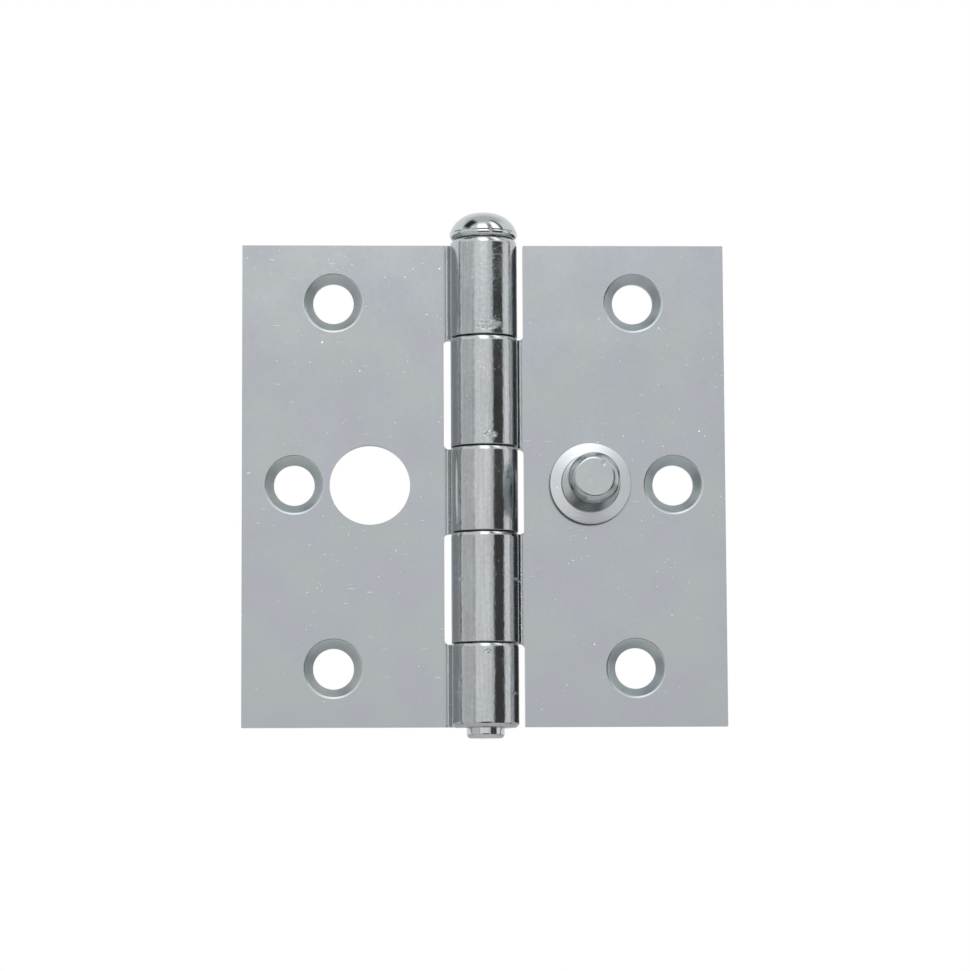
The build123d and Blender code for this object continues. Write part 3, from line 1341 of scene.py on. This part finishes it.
@dataclass
class Studio:
    """A pale floor, soft lamps, reflection cards, a white surround and the camera."""

    floor_drop: float = 330 * MM
    floor_size: float = 4.0
    floor_tone: float = 0.85
    floor_roughness: float = 0.9
    surround_light: float = 0.6
    camera_azimuth: float = -2.2
    camera_roll: float = -0.28
    camera_elevation: float = -6.2
    camera_distance: float = 0.64
    pixels_per_metre: float = 5432.0
    image_width: int = 970
    aim: tuple[float, float, float] = (0.15 * MM, 1.5 * MM, -0.18 * MM)
    cards: tuple[Card, ...] = (
        Card("right_black_card", 47.7, -3.5, 40, 44, 0.075, 0.075),
        Card("right_grey_card", 17.5, -3.5, 20, 44, 1.0, 0.74),
        Card("right_dark_strip", 98, 0, 11, 60, 0.3, 0.1, 0.2),
        Card("left_grey_card", -60.5, -4, 49, 46, 0.68, 0.72),
        Card("left_dark_line", -38.5, -4, 5, 46, 0.45, 0.45, 0.4),
        Card("left_black_strip", -93, 0, 7, 60, 0.12, 0.12),
        Card("low_black_card", 0, -21, 42, 27, 0.03, 0.03, 0.12, 0.3, 0.14, 0.45),
        Card("upper_left_black_card", -78, 60, 34, 36, 0.03, 0.03, 0.3, 0.25, 0.25),
        Card("upper_right_black_strip", 78, 56, 9, 50, 0.05, 0.05, 0.3, 0.2, 0.2),
        Card("upper_grey_strip", 27, 48, 14, 56, 0.4, 0.4, 0.2, 0.15, 0.3, 0.65),
        Card("grey_ceiling", 0, 92, 80, 64, 0.7, 0.7, 0.25, 0.35, 0.2, 0.8),
        Card("front_panel", -2, 46, 36, 64, 2.2, 2.2, 0.2, 0.13, 0.4, 0.7),
        Card("right_panel", 52, 51, 20, 52, 1.9, 1.9, 0.2, 0.12, 0.3, 0.7),
    )
    lamps: tuple[Softbox, ...] = (
        Softbox("front_softbox", -6, 40, 52, 30, 2.2),
        Softbox("right_softbox", 50, 42, 32, 26, 2.0),
    )

    def lay_floor(self) -> None:
        """Lays the pale floor under the hinge."""
        bm = bmesh.new()
        bmesh.ops.create_grid(bm, x_segments=1, y_segments=1, size=self.floor_size / 2)
        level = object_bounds()[0].z - self.floor_drop
        bmesh.ops.translate(bm, verts=bm.verts, vec=(0, 0, level))
        mesh = bpy.data.meshes.new("floor")
        bm.to_mesh(mesh)
        bm.free()
        floor = bpy.data.objects.new("floor", mesh)
        bpy.context.scene.collection.objects.link(floor)
        matt = bpy.data.materials.new("floor_paper")
        matt.use_nodes = True
        shader = matt.node_tree.nodes["Principled BSDF"]
        shader.inputs["Base Color"].default_value = (self.floor_tone,) * 3 + (1,)
        shader.inputs["Roughness"].default_value = self.floor_roughness
        mesh.materials.append(matt)
        floor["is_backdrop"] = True

    def hang_card(self, card: Card) -> None:
        """Hangs one reflection card, facing the hinge.

        Args:
            card: the card.
        """
        way = direction(card.azimuth, card.elevation)
        bm = bmesh.new()
        bm.loops.layers.uv.new("spread")
        bmesh.ops.create_grid(bm, x_segments=1, y_segments=1, size=0.5, calc_uvs=True)
        width, height = extent(card.across, card.distance), extent(card.up, card.distance)
        bmesh.ops.scale(bm, verts=bm.verts, vec=(width, height, 1))
        facing = way.to_track_quat("Z", "Y").to_matrix()
        bmesh.ops.rotate(bm, verts=bm.verts, cent=(0, 0, 0), matrix=facing)
        bmesh.ops.translate(bm, verts=bm.verts, vec=way * card.distance)
        mesh = bpy.data.meshes.new(card.name)
        bm.to_mesh(mesh)
        bm.free()
        hung = bpy.data.objects.new(card.name, mesh)
        bpy.context.scene.collection.objects.link(hung)
        hung.visible_camera = hung.visible_diffuse = hung.visible_shadow = False
        mesh.materials.append(self.card_paint(card))
        hung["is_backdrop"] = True

    def card_paint(self, card: Card) -> Material:
        """Makes a card's even glow, with its edges melting away.

        Args:
            card: the card.

        Returns:
            The new material.
        """
        paint = bpy.data.materials.new(card.name)
        paint.use_nodes = True
        paint.node_tree.nodes.clear()
        wiring = Wiring(paint.node_tree)
        spread = wiring.add("ShaderNodeSeparateXYZ")
        wiring.plug(wiring.add("ShaderNodeTexCoord").outputs["UV"], spread.inputs[0])
        across, up = spread.outputs["X"], spread.outputs["Y"]
        mask = wiring.ramp(across, 0.0, card.side_fade)
        for value, start, stop in (
            (across, 1.0, 1.0 - card.side_fade), (up, 0.0, card.low_fade), (up, 1.0, 1.0 - card.high_fade),
        ):
            mask = wiring.maths("MULTIPLY", mask, wiring.ramp(value, start, stop))
        glow = wiring.add("ShaderNodeEmission")
        wiring.plug(wiring.ramp(across, 0.0, 1.0, card.light, card.far_light), glow.inputs["Strength"])
        blend = wiring.add("ShaderNodeMixShader")
        wiring.plug(mask, blend.inputs[0])
        wiring.plug(wiring.add("ShaderNodeBsdfTransparent").outputs[0], blend.inputs[1])
        wiring.plug(glow.outputs[0], blend.inputs[2])
        wiring.plug(blend.outputs[0], wiring.add("ShaderNodeOutputMaterial").inputs["Surface"])
        return paint

    def set_lamp(self, lamp: Softbox) -> None:
        """Sets up one softbox, whose reflection is left to the glowing panels.

        Args:
            lamp: the softbox.
        """
        light = bpy.data.lights.new(lamp.name, "AREA")
        light.shape = "RECTANGLE"
        light.size, light.size_y = extent(lamp.across, lamp.distance), extent(lamp.up, lamp.distance)
        light.energy = lamp.brightness * math.pi * light.size * light.size_y
        placed = bpy.data.objects.new(lamp.name, light)
        bpy.context.scene.collection.objects.link(placed)
        way = direction(lamp.azimuth, lamp.elevation)
        placed.location = way * lamp.distance
        placed.rotation_mode = "QUATERNION"
        placed.rotation_quaternion = way.to_track_quat("Z", "Y")
        placed.visible_glossy = False

    def surround(self) -> None:
        """Makes the world white where it is seen or reflected, and dimmer as a light."""
        world = bpy.data.worlds.new("surround")
        bpy.context.scene.world = world
        world.use_nodes = True
        world.node_tree.nodes.clear()
        wiring = Wiring(world.node_tree)
        path = wiring.add("ShaderNodeLightPath")
        seen = wiring.maths("ADD", path.outputs["Is Camera Ray"], path.outputs["Is Glossy Ray"])
        seen = wiring.maths("ADD", seen, path.outputs["Is Transmission Ray"], clamp=True)
        back = wiring.add("ShaderNodeBackground")
        back.inputs["Color"].default_value = (1, 1, 1, 1)
        wiring.plug(wiring.ramp(seen, 0.0, 1.0, self.surround_light, 1.0), back.inputs["Strength"])
        wiring.plug(back.outputs[0], wiring.add("ShaderNodeOutputWorld").inputs["Surface"])

    def place_camera(self) -> None:
        """Places the camera at the photograph's angle, with a long lens."""
        data = bpy.data.cameras.new("camera")
        camera = bpy.data.objects.new("camera", data)
        bpy.context.scene.collection.objects.link(camera)
        back = direction(self.camera_azimuth, self.camera_elevation)
        camera.location = Vector(self.aim) + back * self.camera_distance
        camera.rotation_mode = "QUATERNION"
        roll = Quaternion((0, 0, 1), math.radians(self.camera_roll))
        camera.rotation_quaternion = back.to_track_quat("Z", "Y") @ roll
        field_width = self.image_width / self.pixels_per_metre
        data.lens = data.sensor_width * self.camera_distance / field_width
        data.clip_start, data.clip_end = 0.01, 20.0
        bpy.context.scene.camera = camera

    def build(self) -> None:
        """Sets up everything round the hinge."""
        self.lay_floor()
        for card in self.cards:
            self.hang_card(card)
        for lamp in self.lamps:
            self.set_lamp(lamp)
        self.surround()
        self.place_camera()
        bpy.context.scene.view_settings.view_transform = "Standard"


def main() -> None:
    """Builds and dresses the four pieces, then the studio round them."""
    logging.basicConfig(level=logging.INFO, format="%(name)s: %(message)s")
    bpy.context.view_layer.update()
    effects = Effects()
    makers = (
        # each leaf's tab finish is painted light over the shade its tabs catch
        Leaf("frame_leaf", "frame_leaf", "plated_frame_leaf", side=-1, first_knuckle=0, tab=SWAGED_TAB_PAINTED_LIGHT),
        Leaf("door_leaf", "door_leaf", "plated_door_leaf", side=1, first_knuckle=1, tab=PRESSED_TAB_PAINTED_LIGHT),
        LockingStud(),
        LoosePin(),
    )
    for maker in makers:
        piece = maker.build(effects)
        log.info("%s: %d faces", piece.name, len(piece.data.polygons))
    Studio().build()


if __name__ == "__main__":
    main()
